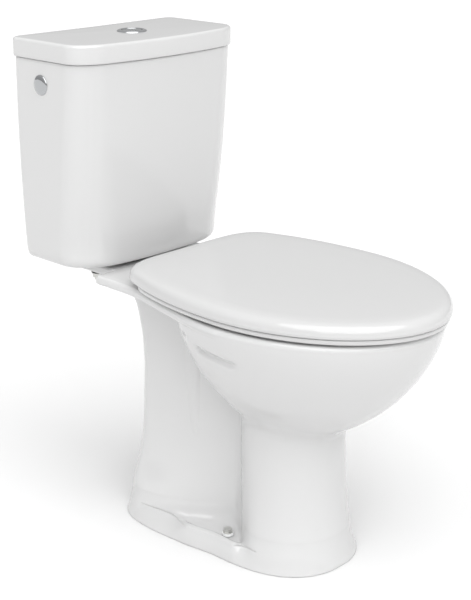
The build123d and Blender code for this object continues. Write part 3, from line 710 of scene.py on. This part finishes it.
def build_cover(material):
    """Cover: low dome falling as the fourth power of the way out, soft rim edge and a hollow underside."""
    a = turn(384)[None, :]
    side = reach(seat_field(0.0, COVER_BACK), a, 0.0, WIDEST_Y)
    k = np.array([0.12, 0.25, 0.38, 0.5, 0.6, 0.69, 0.77, 0.84, 0.89])[:, None]
    rings = [around(side * k, a, COVER_TOP - 2.6 * k ** 4, WIDEST_Y)]
    bend = np.array([(15.0, 431.6), (11.5, 431.0), (8.4, 429.9), (5.7, 428.3), (3.5, 426.2), (1.8, 423.4),
                     (0.7, 420.2), (0.1, 416.6), (0.2, 414.2), (1.2, 412.5), (2.8, 412.0), (5.5, 412.0),
                     (7.0, 412.4), (7.8, 413.6), (8.2, 417.0), (10.0, 420.4), (14.0, COVER_UNDER)])
    rings.append(around(side - bend[:, :1], a, bend[:, 1:], WIDEST_Y))
    rings.append(around(side * np.array([0.7, 0.35])[:, None], a, COVER_UNDER, WIDEST_Y))
    parts = [shell(np.concatenate(rings), [0, WIDEST_Y, COVER_TOP], [0, WIDEST_Y, COVER_UNDER])]
    for x0, x1 in ((-71.5, -61.0), (61.0, 71.5)):
        web = soft_box((x0 + 0.3, HINGE_Y - 4, 414), (x1 - 0.3, HINGE_Y + 4, 424), 1.2, 32, 4)
        parts += [barrel(x0, x1), web]
    make_piece("seat_cover_shell", "cover", parts, material, ["seat_cover"])


def barrel(x0, x1, r=5.2):
    """Hinge barrel along X with softened ends."""
    soft, edge = 0.7, 0.2
    profile = [(r - soft, x0), (r - edge, x0 + edge), (r, x0 + soft),
               (r, x1 - soft), (r - edge, x1 - edge), (r - soft, x1)]
    return turned(profile, (HINGE_Z, HINGE_Y), count=40, axis="x")


def build_ring(material):
    """Seat ring: crowned, with a rounded inner edge, closed as a torus, and its two knuckles."""
    a = turn(384)[None, :]
    out = reach(seat_field(3.0, RING_BACK), a, 0.0, WIDEST_Y)
    hole = reach(lambda x, y, z: egg_field(x, y, 111.0, 149.0, 121.0), a, 0.0, WIDEST_Y)
    outer = [(3.0, 404.0), (1.0, 404.5), (0.2, 405.8), (0.0, 408.0), (0.5, 410.2), (2.0, 411.0),
             (11.0, 411.2), (13.0, 413.0), (17.0, 415.4), (24.0, 416.2)]
    inner = [(12.0, 416.0), (6.0, 414.8), (2.0, 412.4), (0.2, 409.4), (0.6, 406.2), (3.0, 404.2)]
    rings = [around(out - d, a, z, WIDEST_Y) for d, z in outer]
    rings += [around(hole + d, a, z, WIDEST_Y) for d, z in inner]
    parts = [loop_shell(np.concatenate(rings))]
    for x0, x1 in ((-94.0, -83.5), (83.5, 94.0)):
        web = soft_box((x0 + 0.3, 88, 408.6), (x1 - 0.3, HINGE_Y, 414.4), 1.4, 32, 4)
        parts += [barrel(x0, x1), web]
    make_piece("seat_ring_shell", "ring", parts, material, ["seat_ring"])


# ---- chrome ---------------------------------------------------------------------------------
def build_button(material):
    """Bezel and split button: a turned ring, and two segments with a dished top and a rounded edge,
    cut from a round button along a straight gap."""
    bezel = turned([(16.3, 744.9), (16.3, 747.0), (16.9, 747.9), (18.0, 748.2), (20.2, 747.9), (22.0, 747.0),
                    (22.9, 745.8), (23.0, 744.9)], (0.0, BUTTON_Y), count=96, closed=True)
    make_piece("button_bezel_ring", "lid", [bezel], material, ["button_bezel"])
    top = [(0.0, 738.0), (0.0, 745.4), (0.25, 746.3), (0.9, 746.9), (2.2, 747.1), (4.5, 746.7)]
    for side, x0, x1 in (("full", -3.6, BUTTON_R), ("half", -BUTTON_R, -4.4)):
        mid = (x0 + x1) / 2

        def segment(x, y, z):
            round_edge = np.hypot(x + mid, y) - BUTTON_R
            return smooth_max(round_edge, np.maximum(x0 - mid - x, x + mid - x1), 1.6)
        a = turn(96)[None, :]
        out = reach(segment, a, 0.0, 0.0, far=60.0)
        rings = np.concatenate([around(out - d, a, z, BUTTON_Y) for d, z in top]) + [mid, 0.0, 0.0]
        part = shell(rings, [mid, BUTTON_Y, 738.0], [mid, BUTTON_Y, 746.2])
        make_piece(f"{side}_button_cap", f"{side}_button", [part], material,
                   [f"{side}_flush_button"])


def build_plug(material):
    """Domed chrome plug on the left wall, with its shank."""
    profile = [(10.0, -137.0), (10.0, -160.6), (14.4, -160.8), (15.0, -161.4), (15.0, -162.2),
               (14.2, -163.2), (12.6, -163.9), (9.0, -164.6), (5.0, -164.95), (2.0, -165.0)]
    plug = turned(profile, (PLUG_Z, PLUG_Y), count=72, axis="x")
    make_piece("side_hole_plug", "pan_and_cistern", [plug], material, ["side_hole_cap"])


# ---- stage ----------------------------------------------------------------------------------
def area_light(name, place, size, power):
    """Rectangular soft light aimed at the middle of the toilet."""
    data = bpy.data.lights.new(name, "AREA")
    data.shape, data.size, data.size_y, data.energy = "RECTANGLE", size[0], size[1], power
    light = bpy.data.objects.new(name, data)
    light.location = place
    aim = Vector((0.0, 0.0, 0.4)) - Vector(place)
    light.rotation_mode = "QUATERNION"
    light.rotation_quaternion = aim.to_track_quat("-Z", "Y")
    bpy.context.scene.collection.objects.link(light)


def build_floor():
    """Wide pale floor just under the pan."""
    size, drop = 30.0, -0.0004
    corners = [(-size, -size, drop), (size, -size, drop), (size, size, drop), (-size, size, drop)]
    mesh = bpy.data.meshes.new("studio_floor")
    mesh.from_pydata(corners, [], [(0, 1, 2, 3)])
    floor = bpy.data.objects.new("studio_floor", mesh)
    bpy.context.scene.collection.objects.link(floor)
    floor.data.materials.append(
        finish_material("studio_paper", (0.81, 0.81, 0.81), 0.9, tint=0.0, specular=0.0))


def build_lights():
    """White surroundings, brighter overhead than at the horizon, a wide overhead light and two softboxes."""
    world = bpy.data.worlds.new("studio_world")
    bpy.context.scene.world = world
    world.use_nodes = True
    nodes, links = world.node_tree.nodes, world.node_tree.links
    nodes["Background"].inputs["Color"].default_value = (1.0, 1.0, 1.0, 1.0)
    toward, split = nodes.new("ShaderNodeTexCoord"), nodes.new("ShaderNodeSeparateXYZ")
    fade = nodes.new("ShaderNodeMapRange")
    fade.interpolation_type = "SMOOTHSTEP"
    fade.inputs["From Max"].default_value = 0.75
    fade.inputs["To Min"].default_value = 0.50
    fade.inputs["To Max"].default_value = 0.70
    links.new(toward.outputs["Generated"], split.inputs["Vector"])
    links.new(split.outputs["Z"], fade.inputs["Value"])
    links.new(fade.outputs["Result"], nodes["Background"].inputs["Strength"])

    scrim = bpy.data.lights.new("overhead_scrim", "SUN")
    scrim.energy, scrim.angle = 2.7, math.radians(75.0)
    overhead = bpy.data.objects.new("overhead_scrim", scrim)
    overhead.rotation_euler = (math.radians(35.0), 0.0, math.radians(-38.0))
    bpy.context.scene.collection.objects.link(overhead)
    area_light("key_softbox", (-2.6, -1.6, 1.9), (0.6, 2.2), 2.0)
    area_light("front_softbox", (0.9, -3.0, 1.4), (0.8, 2.0), 1.5)


def build_camera():
    """Camera at the front left, a little above the cistern, looking down by 19 degrees."""
    scene = bpy.context.scene
    look_down, look_right = math.radians(19.16), math.radians(46.18)
    data = bpy.data.cameras.new("product_camera")
    data.lens, data.sensor_width = 79.93, 36.0
    data.shift_x, data.shift_y = -0.0071, 0.0047
    data.clip_start, data.clip_end = 0.05, 100.0
    camera = bpy.data.objects.new("product_camera", data)
    camera.location = (-1.3577, -1.2819, 1.0182)
    camera.rotation_euler = (math.pi / 2 - look_down, 0.0, -look_right)
    scene.collection.objects.link(camera)
    scene.camera = camera
    scene.view_settings.view_transform = "Standard"


# ---- operators ------------------------------------------------------------------------------
class TOILET_OT_pan(bpy.types.Operator):
    """Build the china pan"""
    bl_idname = "toilet.pan"
    bl_label = "Pan"

    def execute(self, context):
        build_pan(finish("white_glaze"))
        build_tongue(finish("white_glaze"))
        build_trap(finish("white_glaze"))
        return {"FINISHED"}


class TOILET_OT_cistern(bpy.types.Operator):
    """Build the cistern and its lid"""
    bl_idname = "toilet.cistern"
    bl_label = "Cistern and lid"

    def execute(self, context):
        build_cistern(finish("white_glaze"))
        build_lid(finish("white_glaze"))
        return {"FINISHED"}


class TOILET_OT_seat(bpy.types.Operator):
    """Build the seat ring and its cover"""
    bl_idname = "toilet.seat"
    bl_label = "Seat"

    def execute(self, context):
        build_ring(finish("seat_gloss"))
        build_cover(finish("seat_gloss"))
        return {"FINISHED"}


class TOILET_OT_chrome(bpy.types.Operator):
    """Build the flush button and the side plug"""
    bl_idname = "toilet.chrome"
    bl_label = "Chrome pieces"

    def execute(self, context):
        build_button(finish("chrome_plate"))
        build_plug(finish("chrome_plate"))
        return {"FINISHED"}


class TOILET_OT_fittings(bpy.types.Operator):
    """Give every fitting that stays as packed its finish"""
    bl_idname = "toilet.fittings"
    bl_label = "Fittings"

    def execute(self, context):
        finishes = {"china": "white_glaze", "seat_plastic": "seat_gloss", "chrome": "chrome_plate",
                    "black_rubber": "black_rubber", "clear_rubber": "grey_rubber", "zinc_steel": "zinc_steel",
                    "white_plastic": "white_plastic", "blue_plastic": "blue_plastic"}
        for part in frame["record"]["subparts"]:
            node = frame["nodes"][part["node"]]
            material = finish(finishes[part["material_slot"]])
            node.data.materials.clear()
            node.data.materials.append(material)
        return {"FINISHED"}


class TOILET_OT_stage(bpy.types.Operator):
    """Build the floor, the lights and the camera"""
    bl_idname = "toilet.stage"
    bl_label = "Studio"

    def execute(self, context):
        build_floor()
        build_lights()
        build_camera()
        return {"FINISHED"}


class TOILET_PT_panel(bpy.types.Panel):
    """Buttons and settings of the toilet"""
    bl_idname = "TOILET_PT_panel"
    bl_label = "Toilet"
    bl_space_type = "VIEW_3D"
    bl_region_type = "UI"
    bl_category = "Toilet"

    def draw(self, context):
        for operator in OPERATORS:
            self.layout.operator(operator.bl_idname)
        for group in SETTINGS:
            settings = getattr(context.scene, group)
            for key in settings.__annotations__:
                self.layout.prop(settings, key)


SETTINGS = {"toilet_pan": PanSettings, "toilet_cistern": CisternSettings, "toilet_seat": SeatSettings,
            "toilet_finish": FinishSettings}
OPERATORS = (TOILET_OT_pan, TOILET_OT_cistern, TOILET_OT_seat, TOILET_OT_chrome, TOILET_OT_fittings,
             TOILET_OT_stage)


def register():
    """Registers the settings, the operators and the panel."""
    for name, group in SETTINGS.items():
        bpy.utils.register_class(group)
        setattr(bpy.types.Scene, name, bpy.props.PointerProperty(type=group))
    for operator in OPERATORS:
        bpy.utils.register_class(operator)
    bpy.utils.register_class(TOILET_PT_panel)


def unregister():
    """Takes them away again."""
    bpy.utils.unregister_class(TOILET_PT_panel)
    for operator in reversed(OPERATORS):
        bpy.utils.unregister_class(operator)
    for name, group in SETTINGS.items():
        delattr(bpy.types.Scene, name)
        bpy.utils.unregister_class(group)


def main():
    """Builds everything in order."""
    register()
    bpy.ops.toilet.pan()
    bpy.ops.toilet.cistern()
    bpy.ops.toilet.seat()
    bpy.ops.toilet.chrome()
    bpy.ops.toilet.fittings()
    bpy.ops.toilet.stage()


if __name__ == "__main__":
    main()
